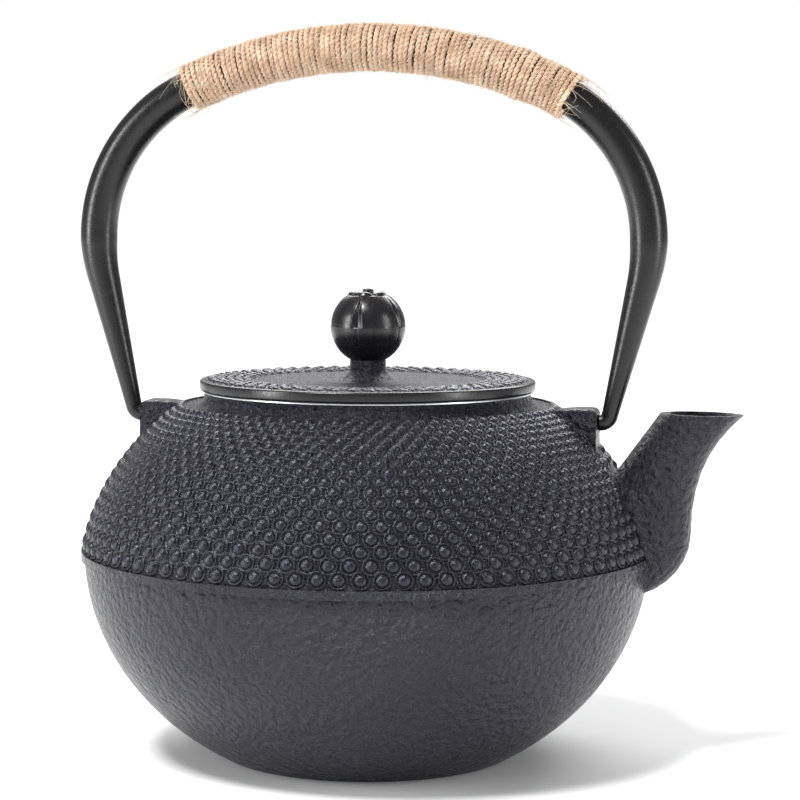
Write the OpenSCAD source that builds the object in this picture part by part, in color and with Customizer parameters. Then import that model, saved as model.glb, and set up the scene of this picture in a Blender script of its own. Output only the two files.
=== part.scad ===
// Cast iron teapot: a pot cast in one with its spout and ears, a lid with a ball knob, a
// lift-out steel strainer and a swinging bail with a twine grip. The casting is drawn in
// three pieces, which meet at the belt and where the spout leaves the pot.
// The origin is the centre of the base, +Z is up and +X is the spout's side.

/* [Pot] */
// Diameter over the belt
belt_d = 166; // [140:1:200]
// Height of the belt's top edge above the base
belt_h = 60; // [50:1:75]
// Height of the belt band
belt_band_h = 2.5; // [1.5:0.5:5]
// How far the belt stands out from the walls above and below it
belt_proud = 0.9; // [0.4:0.1:2]
// Height of the pot up to the neck's rim
rim_h = 105.2; // [95:0.1:125]
// Height of the bowl's oval, from the belt down to where it would close
bowl_drop = 70; // [66:1:90]
// Radius of the shoulder's curve
shoulder_curve_r = 66; // [58:1:90]
// Thickness of the cast walls
wall = 3.5; // [2.5:0.1:5]
// Thickness of the cast floor
floor_t = 4; // [3:0.1:6]
// Outer diameter of the neck
neck_d = 95; // [85:0.5:100]
// Thickness of the neck
neck_wall = 5; // [3:0.1:8]
// Height of the neck above the shoulder
neck_h = 3.8; // [2.5:0.1:7]
// Radius of the fillet at the neck's foot
neck_fillet = 2.4; // [0.5:0.1:2.4]

/* [Spout] */
// How far the mouth's inner end is below the rim
mouth_below_rim = 4.3; // [-5:0.1:12]
// How far the mouth's tip reaches past the belt
mouth_past_belt = 25.6; // [22:0.1:35]
// Outer length of the mouth
mouth_len = 23.7; // [18:0.1:30]
// Outer width of the mouth
mouth_w = 17; // [14:0.1:22]
// Outer width of the spout where it leaves the pot
spout_root_w = 21; // [16:0.1:28]
// How far the spout's belly stands out from the belt
spout_belly = 11.1; // [8:0.1:16]
// Thickness of the spout's wall above and below
spout_wall = 2.6; // [1.8:0.1:4]
// Thickness of the spout's wall at its sides
spout_side_wall = 1.8; // [1.4:0.1:3]

/* [Ears] */
// Distance from the belt's outside in to an ear's outer face
ear_inside_belt = 15.8; // [12:0.1:22]
// Width of an ear
ear_w = 11; // [8:0.5:16]
// How far the hinge line is below the rim
hinge_below_rim = 7.5; // [6:0.1:12]
// Iron above the hinge line
ear_over = 4.1; // [3.5:0.1:7]
// Length of the flat part of an ear's top
ear_flat = 6; // [3:0.5:8]
// Radius of an ear's rounded edges
ear_round = 2; // [0.5:0.1:3]
// Depth of the blind eye
eye_depth = 7; // [5:0.1:8]

/* [Handle] */
// Diameter of the bail's tube
bail_d = 10.7; // [8:0.1:14]
// Thickness of the tube
bail_wall = 1.2; // [0.8:0.1:1.6]
// Diameter of the pins at the bail's ends
pin_d = 4.4; // [3.6:0.1:6]
// Height of the bail's crown line above the hinge line
bail_rise = 106.8; // [85:0.1:130]
// Distance from the belt's outside in to the widest point of the bail's line
bail_inside_belt = 2; // [-8:0.1:8]
// Height of the widest point above the hinge line
bail_side_h = 51.6; // [42:0.1:60]
// Radius of the bail's side bends
bail_side_r = 48; // [44:0.5:48]
// Length of the taper from each hook up to the full tube
taper_len = 50; // [35:1:60]
// Radius of the bend into each eye
hook_r = 2.6; // [2.4:0.1:4]
// Gap between an ear and the hook's bend
hook_gap = 0.3; // [0.3:0.1:1]
// How far each pin enters its eye
pin_in = 5.8; // [4:0.1:6.5]

/* [Grip] */
// Outer diameter of the twine grip
grip_d = 13.6; // [12:0.1:18]
// Length of the grip from the crown to its spout end
grip_front = 62; // [50:0.5:70]
// Length of the grip from the crown to its back end
grip_back = 59; // [50:0.5:70]

/* [Lid] */
// How much wider the lid is than the neck
lid_over_neck = 2.4; // [0:0.1:6]
// Thickness of the lid's plate
lid_t = 3.1; // [2.5:0.1:5]
// Bevel on the lid's edges
lid_bevel = 0.4; // [0.1:0.1:1]
// Depth of the locating skirt
skirt_h = 5; // [3:0.1:8]
// Thickness of the locating skirt
skirt_t = 2.5; // [1.5:0.1:4]
// Height of the pillar above the lid
pillar_h = 5.7; // [3:0.1:8]
// Diameter of the pillar under the knob
pillar_d = 10.4; // [9:0.1:14]
// Diameter of the pillar's foot
pillar_foot_d = 13.4; // [12:0.1:18]

/* [Knob] */
// Diameter of the ball
ball_d = 21.7; // [18:0.1:26]
// Diameter of the blossom cap
blossom_d = 12.3; // [9:0.1:14]
// Height of the blossom's petals
petal_h = 1.3; // [0.8:0.1:2]
// Diameter of the blossom's button
button_d = 3.2; // [2.4:0.1:4]
// Height of the button over the ball's own top
button_over = 0.4; // [0.3:0.1:2]
// Depth of the leaf cuts at the ball's equator
leaf_cut = 0.7; // [0.3:0.1:1.2]
// Width of the leaf cuts at the ball's equator
leaf_w = 2.4; // [1.5:0.1:4]
// Height of the leaf cuts
leaf_h = 6.5; // [4:0.1:8]
// Diameter of the stud
stud_d = 5; // [4:0.5:6]
// How far the stud enters the ball
stud_in = 10; // [6:0.5:12]
// Diameter of the washer
washer_d = 12; // [10:0.5:16]
// Thickness of the washer
washer_t = 1; // [0.8:0.1:1.6]
// Size of the nut across its flats
nut_af = 8; // [7:0.1:11]
// Height of the nut
nut_h = 4; // [2.5:0.1:5]
// Stud left below the nut
stud_end = 1.5; // [0.5:0.1:3]

/* [Strainer] */
// Thickness of the pressed sheet
sheet_t = 0.6; // [0.4:0.1:1]
// How much wider the flange is than the neck
flange_over_neck = 0.6; // [-4:0.1:2]
// Depth of the collar below the rim
collar_h = 10; // [8:0.5:20]
// Depth of the basket below the rim
basket_h = 55; // [40:1:65]
// Thickness of the mesh
mesh_t = 0.5; // [0.3:0.1:0.8]
// Height of the base ring
ring_h = 3; // [2:0.1:5]
// Width of the base ring's inward lip
ring_lip = 2.4; // [1.5:0.1:4]

/* [Clearances] */
// Gap between the collar and the neck, at the radius
collar_gap = 0.6; // [0.3:0.1:1.5]
// Gap between the lid's skirt and the collar, at the radius
skirt_gap = 1; // [0.3:0.1:1.5]
// Gap between a pin and its eye, at the radius
pin_gap = 0.1; // [0.05:0.01:0.1]
// Gap between the stud and the holes it passes through, at the radius
stud_gap = 0.3; // [0.1:0.05:0.5]
// Gap between the twine and the tube
grip_gap = 0.06; // [0.06:0.01:0.2]

/* [Hidden] */
$fn = 96;

// A cut runs this far past the face that it opens
past = 1;

iron = "#232226";
black_paint = "#1b1a1d";
gloss_black = "#1f1e22";
steel = "#c9cbce";
jute = "#c9a577";

// Sizes that follow the belt, the rim and the neck
neck_bore_d = neck_d - 2 * neck_wall;
mouth_h = rim_h - mouth_below_rim;
mouth_reach = belt_d / 2 + mouth_past_belt;
ear_reach = belt_d / 2 - ear_inside_belt;
hinge_h = rim_h - hinge_below_rim;
bail_reach = belt_d / 2 - bail_inside_belt;
lid_d = neck_d + lid_over_neck;
flange_d = neck_d + flange_over_neck;

// Pot: the wall above and below the belt, and the shoulder's top
field_r = belt_d / 2 - belt_proud;
shoulder_top_h = rim_h - neck_h;
neck_foot_r = neck_d / 2 + neck_fillet;
// The shoulder's flat top ends a little outside the neck's fillet
shoulder_flat = 4.4;
shoulder_top_r = neck_foot_r + shoulder_flat;

// How far the inner end of an ear's top is sunk in the shoulder
ear_tuck = 0.8;

// Centre of the circle of radius r that passes through a and b and bulges outward
function arc_centre(a, b, r) =
    let (half = (b - a) / 2)
    let (reach = sqrt(r * r - half * half))
    (a + b) / 2 + [half.y, -half.x] / norm(half) * -reach;

shoulder_c = arc_centre([field_r, belt_h], [shoulder_top_r, shoulder_top_h], shoulder_curve_r);

// Spout: its outlines run from inside the wall to the mouth
mouth_tilt = 0.3;
mouth_in = [mouth_reach - mouth_len, mouth_h];
mouth_out = [mouth_reach, mouth_h - mouth_tilt];
belly_x = belt_d / 2 + spout_belly;
root_low = [belt_d / 2 - 7, belt_h - 12.5];
belly = [belly_x, belt_h + 6];
root_top = [mouth_in.x - 14.6, mouth_h - 20.2];
// The channel starts this far inside the spout's root
root_in = 12;
SPOUT_RINGS = 14;
SPOUT_SIDES = 32;

function bezier(a, b, c, d, t) =
    pow(1 - t, 3) * a + 3 * pow(1 - t, 2) * t * b + 3 * (1 - t) * t * t * c + pow(t, 3) * d;

// The lower outline swells from the root to the belly and then flares to the tip
function spout_low(t) = t < 0.5
    ? bezier(root_low, root_low + [10, 1], belly - [0, 9], belly, 2 * t)
    : bezier(belly, belly + [0, 17], mouth_out - [9.3, 8.4], mouth_out, 2 * t - 1);

function spout_high(t) = root_top + (mouth_in - root_top) * t;

function spout_half_w(t) = spout_root_w / 2 * (1 - t) + mouth_w / 2 * t;

// One oval ring of the spout, slid along by shift, with its outline inset by the given walls
function spout_ring(t, wall_here, side_wall_here, shift) =
    let (low = spout_low(t))
    let (high = spout_high(t))
    let (mid = (low + high) / 2 + shift)
    let (along = (low - high) / norm(low - high))
    let (half_len = norm(low - high) / 2 - wall_here)
    [for (i = [0 : SPOUT_SIDES - 1])
        let (a = 360 * i / SPOUT_SIDES)
        [mid.x + along.x * half_len * cos(a),
            (spout_half_w(t) - side_wall_here) * sin(a),
            mid.y + along.y * half_len * cos(a)]];

// Handle: two side arcs and a crown arc that meet smoothly, straight legs and hooked ends
// The tube's straight ends are turned down to make the pins
turned_off = 0.2;
hook_d = pin_d + 2 * turned_off;
pin_end = ear_reach - pin_in;
hook_start = ear_reach + hook_gap;
hook_straight = 0.5;
hook_c = [hook_start + hook_straight, hook_r];
side_c = [bail_reach - bail_side_r, bail_side_h];
crown_drop = bail_rise - side_c.y;
crown_r = (side_c.x * side_c.x + crown_drop * crown_drop - bail_side_r * bail_side_r)
    / (2 * (crown_drop - bail_side_r));
crown_c = [0, bail_rise - crown_r];
crown_half = asin(side_c.x / (crown_r - bail_side_r));
leg_span = side_c - hook_c;
leg_lean = atan2(leg_span.y, -leg_span.x) - acos((bail_side_r - hook_r) / norm(leg_span));
leg_dir = [cos(leg_lean), -sin(leg_lean)];
leg_top = side_c + bail_side_r * leg_dir;
leg_foot = hook_c + hook_r * leg_dir;
leg_len = norm(leg_top - leg_foot);
side_sweep = 90 - crown_half + leg_lean;
crown_len = crown_r * crown_half * PI / 180;
TUBE_SIDES = 20;
HOOK_STEPS = 5;
LEG_STEPS = 5;
SIDE_STEPS = 12;
CROWN_STEPS = 6;
// 1 would be a straight cone, and more keeps the end near the hook slimmer
taper_ease = 1.1;

// The tube's radius at a distance along it from the hook
function tube_r(s) =
    hook_d / 2 + (bail_d - hook_d) / 2 * pow(min(max(s / taper_len, 0), 1), taper_ease);

// A station is [x, height above the hinge, heading, distance from the hook]
function on_arc(c, r, a, s) = [c.x + r * cos(a), c.y + r * sin(a), a + 90, s];
function side_s(a) = leg_len + bail_side_r * (a + leg_lean) * PI / 180;

// Half of the bail, from its eye up to the crown
bail_stations = concat(
    [[pin_end - past, 0, 0, 0]],
    [for (i = [0 : HOOK_STEPS]) on_arc(hook_c, hook_r, -90 + (90 - leg_lean) * i / HOOK_STEPS, 0)],
    [for (i = [1 : LEG_STEPS - 1])
        let (p = leg_foot + (leg_top - leg_foot) * i / LEG_STEPS)
        [p.x, p.y, 90 - leg_lean, leg_len * i / LEG_STEPS]],
    [for (i = [0 : SIDE_STEPS])
        let (a = -leg_lean + side_sweep * i / SIDE_STEPS) on_arc(side_c, bail_side_r, a, side_s(a))],
    [for (i = [1 : CROWN_STEPS])
        on_arc(crown_c, crown_r, 90 - crown_half * (1 - i / CROWN_STEPS), taper_len)]);

// Half of the grip, from its end up to the crown: what is left of its length after the
// crown arc goes onto the side arc
function grip_stations(len) =
    let (on_crown = min(len, crown_len) / crown_r * 180 / PI)
    let (on_side = max(len - crown_len, 0) / bail_side_r * 180 / PI)
    concat(
        on_side == 0 ? [] : [for (i = [0 : 2])
            on_arc(side_c, bail_side_r, 90 - crown_half - on_side * (1 - i / 2), taper_len)],
        [for (i = [on_side == 0 ? 0 : 1 : CROWN_STEPS])
            on_arc(crown_c, crown_r, 90 - on_crown * (1 - i / CROWN_STEPS), taper_len)]);

// One ring of a tube around a station
function ring(station, r) =
    let (up = [-sin(station[2]), cos(station[2])])
    [for (i = [0 : TUBE_SIDES - 1])
        let (a = 360 * i / TUBE_SIDES)
        [station[0] + up.x * r * cos(a), r * sin(a),
            hinge_h + station[1] + up.y * r * cos(a)]];

// The same stations on the other side of the pot, from the crown down to the eye
function other_half(stations) =
    [for (i = [len(stations) - 2 : -1 : 0])
        let (p = stations[i]) [-p[0], p[1], 180 - p[2] + 180, p[3]]];

// Strainer and lid
flange_top_h = rim_h + sheet_t;
collar_r = neck_bore_d / 2 - collar_gap;
mesh_r = collar_r - sheet_t;
basket_low_h = flange_top_h - basket_h;
skirt_r = collar_r - sheet_t - skirt_gap;
lid_top_h = flange_top_h + lid_t;

// Knob: the ball is sunk a little in the pillar's top
ball_sink = 0.3;
pillar_top_h = lid_top_h + pillar_h;
ball_c_h = pillar_top_h - ball_sink + sqrt(pow(ball_d / 2, 2) - pow(pillar_d / 2 - 0.2, 2));
ball_low_h = ball_c_h - ball_d / 2;
stud_top_h = ball_low_h + stud_in;
stud_low_h = flange_top_h - washer_t - nut_h - stud_end;

// ---- Pot ----

// Outlines of the pot's outer face below and above the belt, drawn on the axis
module bowl_outline() {
    intersection() {
        translate([0, belt_h]) scale([field_r, bowl_drop]) circle(1);
        square([belt_d, belt_h]);
    }
    translate([0, belt_h - belt_band_h]) square([belt_d / 2, belt_band_h]);
}

module shoulder_outline() {
    intersection() {
        translate(shoulder_c) circle(shoulder_curve_r);
        translate([0, belt_h]) square([belt_d, shoulder_top_h - belt_h]);
    }
    translate([0, belt_h]) square([neck_d / 2, rim_h - belt_h]);
    difference() {
        translate([0, shoulder_top_h - past]) square([neck_foot_r, neck_fillet + past]);
        translate([neck_foot_r, shoulder_top_h + neck_fillet]) circle(neck_fillet);
    }
}

// The pot without its spout and ears, filled in
module filled_pot() {
    rotate_extrude() {
        bowl_outline();
        shoulder_outline();
    }
}

// Outlines of the space inside the bowl and inside the shoulder and neck
module bowl_cavity() {
    intersection() {
        translate([0, belt_h]) scale([field_r - wall, bowl_drop - wall]) circle(1);
        translate([0, floor_t]) square([belt_d, belt_h - floor_t + past]);
    }
}

module shoulder_cavity() {
    intersection() {
        translate(shoulder_c) circle(shoulder_curve_r - wall);
        translate([0, belt_h - past]) square([belt_d, shoulder_top_h - wall - belt_h + past]);
    }
    translate([0, belt_h - past]) square([neck_bore_d / 2, rim_h - belt_h + 2 * past]);
}

// Solid from a list of rings with equal numbers of points
module loft(rings) {
    sides = len(rings[0]);
    last = len(rings) - 1;
    polyhedron(
        points = [for (ring = rings) each ring],
        faces = concat(
            [[for (i = [0 : sides - 1]) i]],
            [for (k = [0 : last - 1], i = [0 : sides - 1])
                let (j = (i + 1) % sides)
                [k * sides + i, (k + 1) * sides + i, (k + 1) * sides + j, k * sides + j]],
            [[for (i = [sides - 1 : -1 : 0]) last * sides + i]]));
}

module spout_solid() {
    loft([for (k = [0 : SPOUT_RINGS]) spout_ring(k / SPOUT_RINGS, 0, 0, [0, 0])]);
}

// The channel starts inside the pot and runs out past the mouth
module spout_channel() {
    loft([
        spout_ring(0, spout_wall, spout_side_wall, [-root_in, 0]),
        for (k = [0 : SPOUT_RINGS])
            spout_ring(k / SPOUT_RINGS, spout_wall, spout_side_wall, [0, 0]),
        spout_ring(1, spout_wall, spout_side_wall, [0, past])]);
}

// An ear seen from the front: a flat outer face, a rounded corner and a top that falls
// back to the shoulder
module ear_side() {
    inner = shoulder_top_r - wall;
    top = hinge_h + ear_over;
    low = belt_h + 20;
    polygon([
        [inner, low], [ear_reach, low], [ear_reach, top - ear_round],
        [ear_reach - ear_round, top], [ear_reach - ear_flat, top],
        [inner, shoulder_top_h - ear_tuck]]);
    translate([ear_reach - ear_round, top - ear_round]) circle(ear_round);
}

// An ear seen from outside: straight sides and rounded top corners
module ear_face() {
    top = hinge_h + ear_over;
    translate([-ear_w / 2, 0]) square([ear_w, top - ear_round]);
    translate([-ear_w / 2 + ear_round, 0]) square([ear_w - 2 * ear_round, top]);
    for (s = [-1, 1])
        translate([s * (ear_w / 2 - ear_round), top - ear_round]) circle(ear_round);
}

module ear() {
    intersection() {
        translate([0, ear_w / 2, 0]) rotate([90, 0, 0]) linear_extrude(ear_w) ear_side();
        rotate([90, 0, 90]) linear_extrude(ear_reach) ear_face();
    }
}

module eye() {
    translate([ear_reach - eye_depth, 0, hinge_h]) rotate([0, 90, 0])
        cylinder(d = pin_d + 2 * pin_gap, h = eye_depth + past);
}

module pot_bowl() {
    color(iron) difference() {
        rotate_extrude() bowl_outline();
        rotate_extrude() bowl_cavity();
        spout_channel();
    }
}

module pot_shoulder() {
    color(iron) difference() {
        union() {
            rotate_extrude() shoulder_outline();
            ear();
            mirror([1, 0, 0]) ear();
        }
        rotate_extrude() shoulder_cavity();
        spout_channel();
        eye();
        mirror([1, 0, 0]) eye();
    }
}

module spout() {
    color(iron) difference() {
        spout_solid();
        filled_pot();
        spout_channel();
    }
}

// ---- Lid ----

module lid_outline() {
    r = lid_d / 2;
    polygon([
        [0, flange_top_h], [r - lid_bevel, flange_top_h], [r, flange_top_h + lid_bevel],
        [r, lid_top_h - lid_bevel], [r - lid_bevel, lid_top_h],
        [pillar_foot_d / 2, lid_top_h], [pillar_d / 2, lid_top_h + pillar_h * 0.6],
        [pillar_d / 2, pillar_top_h], [0, pillar_top_h]]);
    translate([skirt_r - skirt_t, flange_top_h - skirt_h]) square([skirt_t, skirt_h + lid_t / 2]);
}

module lid_plate() {
    color(iron) difference() {
        rotate_extrude() lid_outline();
        translate([0, 0, ball_c_h]) sphere(d = ball_d);
        translate([0, 0, flange_top_h - past])
            cylinder(r = stud_d / 2 + stud_gap, h = pillar_top_h - flange_top_h + 2 * past);
    }
}

// ---- Knob ----

// A leaf cut: a wedge that is widest at the equator and runs out at its top
module leaf() {
    r = ball_d / 2;
    base_x = r - leaf_cut;
    top_x = sqrt(r * r - leaf_h * leaf_h);
    translate([base_x, 0, ball_c_h]) rotate([0, -atan2(base_x - top_x, leaf_h), 0])
        rotate([90, 0, 90]) linear_extrude(r)
            polygon([[-leaf_w / 2, 0], [leaf_w / 2, 0], [0, leaf_h + past]]);
}

module blossom() {
    seat_h = ball_c_h + sqrt(pow(ball_d / 2, 2) - pow(blossom_d / 2, 2));
    petal_r = blossom_d / 4.4;
    top_h = ball_c_h + ball_d / 2;
    translate([0, 0, seat_h]) cylinder(d = blossom_d - petal_r, h = petal_h);
    for (i = [0 : 4])
        rotate(72 * i) translate([blossom_d / 2 - petal_r, 0, seat_h])
            cylinder(r = petal_r, h = petal_h);
    translate([0, 0, seat_h]) cylinder(d = button_d, h = top_h - seat_h + button_over);
}

module lid_knob() {
    color(gloss_black) difference() {
        union() {
            translate([0, 0, ball_c_h]) sphere(d = ball_d);
            blossom();
        }
        for (i = [0 : 4]) rotate(72 * i - 96) leaf();
        translate([0, 0, ball_low_h - past])
            cylinder(d = stud_d, h = stud_top_h - ball_low_h + past);
    }
}

module knob_stud() {
    color(steel) translate([0, 0, stud_low_h]) cylinder(d = stud_d, h = stud_top_h - stud_low_h);
}

module knob_washer() {
    color(steel) translate([0, 0, flange_top_h - washer_t]) difference() {
        cylinder(d = washer_d, h = washer_t);
        translate([0, 0, -past]) cylinder(r = stud_d / 2 + stud_gap, h = washer_t + 2 * past);
    }
}

module knob_nut() {
    color(steel) translate([0, 0, flange_top_h - washer_t - nut_h]) difference() {
        cylinder(d = nut_af / cos(30), h = nut_h, $fn = 6);
        translate([0, 0, -past]) cylinder(d = stud_d, h = nut_h + 2 * past);
    }
}

// ---- Strainer ----

module strainer_flange() {
    color(steel) rotate_extrude() {
        translate([mesh_r, rim_h]) square([flange_d / 2 - mesh_r, sheet_t]);
        translate([mesh_r, flange_top_h - collar_h]) square([sheet_t, collar_h]);
    }
}

module strainer_wall() {
    color(steel) rotate_extrude() translate([mesh_r - mesh_t, basket_low_h + 2 * mesh_t])
        square([mesh_t, basket_h - collar_h + ring_h - 2 * mesh_t]);
}

module strainer_floor() {
    color(steel) translate([0, 0, basket_low_h + mesh_t]) cylinder(r = mesh_r, h = mesh_t);
}

module strainer_base_ring() {
    color(steel) rotate_extrude() {
        translate([mesh_r, basket_low_h]) square([mesh_t, ring_h]);
        translate([mesh_r - ring_lip, basket_low_h]) square([ring_lip, mesh_t]);
    }
}

// ---- Handle ----

// Hollow tube from rings of its outer and inner faces, open at both ends
module pipe(outer, inner) {
    sides = len(outer[0]);
    count = len(outer);
    first_inner = count * sides;
    polyhedron(
        points = [for (ring = concat(outer, inner)) each ring],
        faces = [
            for (k = [0 : count - 2], i = [0 : sides - 1], face = [0, 1])
                let (j = (i + 1) % sides)
                let (a = face * first_inner + k * sides)
                face == 0 ? [a + i, a + sides + i, a + sides + j, a + j]
                    : [a + i, a + j, a + sides + j, a + sides + i],
            for (i = [0 : sides - 1], far = [0, 1])
                let (j = (i + 1) % sides)
                let (a = far * (count - 1) * sides)
                far == 0 ? [a + i, a + j, first_inner + j, first_inner + i]
                    : [a + i, first_inner + a + i, first_inner + a + j, a + j]]);
}

// What is turned off a straight end: a ring around the pin and all that is past its end
module turning() {
    translate([hook_start, 0, hinge_h]) rotate([0, -90, 0]) rotate_extrude() polygon([
        [pin_d / 2, 0], [hook_d, 0], [hook_d, hook_start - pin_end + 2 * past],
        [0, hook_start - pin_end + 2 * past], [0, hook_start - pin_end],
        [pin_d / 2, hook_start - pin_end]]);
}

module handle_bail() {
    stations = concat(bail_stations, other_half(bail_stations));
    color(black_paint) difference() {
        pipe([for (p = stations) ring(p, tube_r(p[3]))],
            [for (p = stations) ring(p, tube_r(p[3]) - bail_wall)]);
        turning();
        mirror([1, 0, 0]) turning();
    }
}

module grip_twine() {
    stations = concat(grip_stations(grip_front), other_half(grip_stations(grip_back)));
    color(jute) pipe([for (p = stations) ring(p, grip_d / 2)],
        [for (p = stations) ring(p, bail_d / 2 + grip_gap)]);
}

pot_bowl();
pot_shoulder();
spout();
lid_plate();
lid_knob();
knob_stud();
knob_washer();
knob_nut();
strainer_flange();
strainer_wall();
strainer_floor();
strainer_base_ring();
handle_bail();
grip_twine();
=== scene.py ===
"""Cast iron teapot: materials, cast and wound detail, studio and camera.

Lengths are in metres unless a name ends in _mm. +Z is up and +X is the spout's side.
"""

import math

import bpy
import numpy as np
from mathutils import Euler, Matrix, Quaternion, Vector


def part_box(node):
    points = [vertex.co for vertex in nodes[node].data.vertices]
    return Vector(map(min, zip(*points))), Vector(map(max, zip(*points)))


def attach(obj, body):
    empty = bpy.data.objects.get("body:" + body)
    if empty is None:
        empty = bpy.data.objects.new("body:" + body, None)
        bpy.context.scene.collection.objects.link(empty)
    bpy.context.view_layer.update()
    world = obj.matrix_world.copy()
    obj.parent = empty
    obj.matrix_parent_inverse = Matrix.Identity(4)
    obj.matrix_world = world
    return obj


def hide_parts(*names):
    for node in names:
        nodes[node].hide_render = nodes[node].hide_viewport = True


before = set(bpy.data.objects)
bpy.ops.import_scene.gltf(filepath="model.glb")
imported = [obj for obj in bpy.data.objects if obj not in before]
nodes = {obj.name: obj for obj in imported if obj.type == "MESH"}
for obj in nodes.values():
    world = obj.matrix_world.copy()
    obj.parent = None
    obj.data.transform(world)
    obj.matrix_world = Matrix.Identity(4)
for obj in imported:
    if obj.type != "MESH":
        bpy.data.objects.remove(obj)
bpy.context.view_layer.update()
MM = 0.001
TAU = 2 * math.pi

# ---- Sizes, read from the frame where the frame has them ----

bowl_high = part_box("pot_bowl")[1]
shoulder_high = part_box("pot_shoulder")[1]
lid_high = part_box("lid_plate")[1]
knob_low, knob_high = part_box("lid_knob")
flange_low, flange_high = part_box("strainer_flange")
mesh_low, mesh_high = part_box("strainer_wall")
ring_low, ring_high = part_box("strainer_base_ring")
bail_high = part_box("handle_bail")[1]

BELT_R = bowl_high.y
BELT_Z = bowl_high.z
BELT_PROUD = 0.9 * MM
FIELD_R = BELT_R - BELT_PROUD
NECK_H = 3.8 * MM
SHOULDER_TOP_Z = shoulder_high.z - NECK_H
SHOULDER_TOP_R = 54.3 * MM
SHOULDER_CURVE = 66 * MM
HINGE_Z = 97.7 * MM

FLANGE_TOP = flange_high.z
LID_R = lid_high.y
LID_TOP = FLANGE_TOP + 3.1 * MM
PILLAR_TOP = LID_TOP + 5.7 * MM
STUD_R = 2.5 * MM
BALL_R = knob_high.y


# ---- Mesh helpers ----


def piece(name, verts, faces, body, cad_nodes, material):
    """Make one smooth object from points and faces and tie it to its body and CAD nodes."""
    mesh = bpy.data.meshes.new(name)
    mesh.from_pydata(np.asarray(verts).tolist(), [], faces)
    mesh.validate()
    mesh.update()
    mesh.shade_smooth()
    mesh.materials.append(material)
    made = bpy.data.objects.new(name, mesh)
    bpy.context.scene.collection.objects.link(made)
    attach(made, body)
    if cad_nodes:
        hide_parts(*cad_nodes)
    return made


def grid_faces(rows, columns, closed_rows=False, start=0):
    """Quads of a grid of points stored row by row, with every row closed on itself."""
    faces = []
    for r in range(rows if closed_rows else rows - 1):
        low = start + r * columns
        high = start + ((r + 1) % rows) * columns
        for c in range(columns):
            d = (c + 1) % columns
            faces.append((low + c, low + d, high + d, high + c))
    return faces


def turned(outline, segments):
    """Points and faces of a ring turned about Z from a closed outline of (r, z) points."""
    a = np.arange(segments) * TAU / segments
    r = np.array([p[0] for p in outline])[:, None]
    z = np.array([p[1] for p in outline])[:, None]
    verts = np.stack([r * np.cos(a), r * np.sin(a), z + 0 * a], -1).reshape(-1, 3)
    return verts, grid_faces(len(outline), segments, closed_rows=True)


def rounded(corners, steps=4):
    """A closed outline whose corners (r, z, radius) are rounded with short arcs."""
    outline = []
    count = len(corners)
    for i, (r, z, radius) in enumerate(corners):
        here = Vector((r, z))
        if radius == 0:
            outline.append(tuple(here))
            continue
        before = (Vector(corners[i - 1][:2]) - here).normalized()
        after = (Vector(corners[(i + 1) % count][:2]) - here).normalized()
        half = before.angle(after) / 2
        reach = radius / math.tan(half)
        for k in range(steps + 1):
            t = k / steps
            a = here + before * reach
            b = here + after * reach
            outline.append(tuple(a * (1 - t) ** 2 + here * (2 * t * (1 - t)) + b * t * t))
    return outline


def tube(path, radii, sides, up):
    """Points and faces of a round tube along a path, with flat caps. up gives each ring's
    first axis."""
    path = np.asarray(path, float)
    along = np.gradient(path, axis=0)
    along /= np.linalg.norm(along, axis=1)[:, None]
    first = np.asarray(up, float) - along * np.sum(up * along, axis=1)[:, None]
    first /= np.linalg.norm(first, axis=1)[:, None]
    second = np.cross(along, first)
    a = np.arange(sides) * TAU / sides
    r = np.broadcast_to(radii, len(path))[:, None, None]
    ring = first[:, None] * np.cos(a)[None, :, None] + second[:, None] * np.sin(a)[None, :, None]
    verts = (path[:, None] + r * ring).reshape(-1, 3)
    faces = grid_faces(len(path), sides)
    last = (len(path) - 1) * sides
    faces.append(tuple(range(sides - 1, -1, -1)))
    faces.append(tuple(last + i for i in range(sides)))
    return verts, faces


def joined(parts):
    """One list of points and faces from several."""
    verts = []
    faces = []
    start = 0
    for part_verts, part_faces in parts:
        verts.append(np.asarray(part_verts))
        faces.extend([tuple(i + start for i in face) for face in part_faces])
        start += len(part_verts)
    return np.concatenate(verts), faces


# ---- Material helpers ----


def colour(hex_code):
    """Linear colour with alpha from an sRGB hex code."""
    channels = [int(hex_code[i : i + 2], 16) / 255 for i in (1, 3, 5)]
    linear = [c / 12.92 if c <= 0.04045 else ((c + 0.055) / 1.055) ** 2.4 for c in channels]
    return (*linear, 1.0)


def add(tree, kind, settings=None, links=None):
    """Add one node, set its attributes or its sockets' values, and link its sockets."""
    made = tree.nodes.new(kind)
    for key, value in (settings or {}).items():
        if isinstance(key, str) and hasattr(made, key):
            setattr(made, key, value)
        else:
            made.inputs[key].default_value = value
    for key, source in (links or {}).items():
        tree.links.new(source, made.inputs[key])
    return made


def new_material(name, settings):
    """A material with its shader's even values set on the shader itself."""
    made = bpy.data.materials.new(name)
    made.use_nodes = True
    tree = made.node_tree
    shader = tree.nodes["Principled BSDF"]
    for key, value in settings.items():
        shader.inputs[key].default_value = value
    place = add(tree, "ShaderNodeTexCoord").outputs["Object"]
    return made, tree, shader, place


def per_metre(size_mm):
    """Texture scale that gives a pattern of the given size."""
    return 1 / (size_mm * MM)


def ramp(tree, source, stops):
    """Colour ramp from (position, grey level or hex colour) stops."""
    made = add(tree, "ShaderNodeValToRGB", links={"Fac": source})
    elements = made.color_ramp.elements
    while len(elements) < len(stops):
        elements.new(0.5)
    for element, (position, value) in zip(elements, stops):
        element.position = position
        element.color = colour(value) if isinstance(value, str) else (value, value, value, 1)
    return made.outputs["Color"]


# ---- Materials ----


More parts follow.
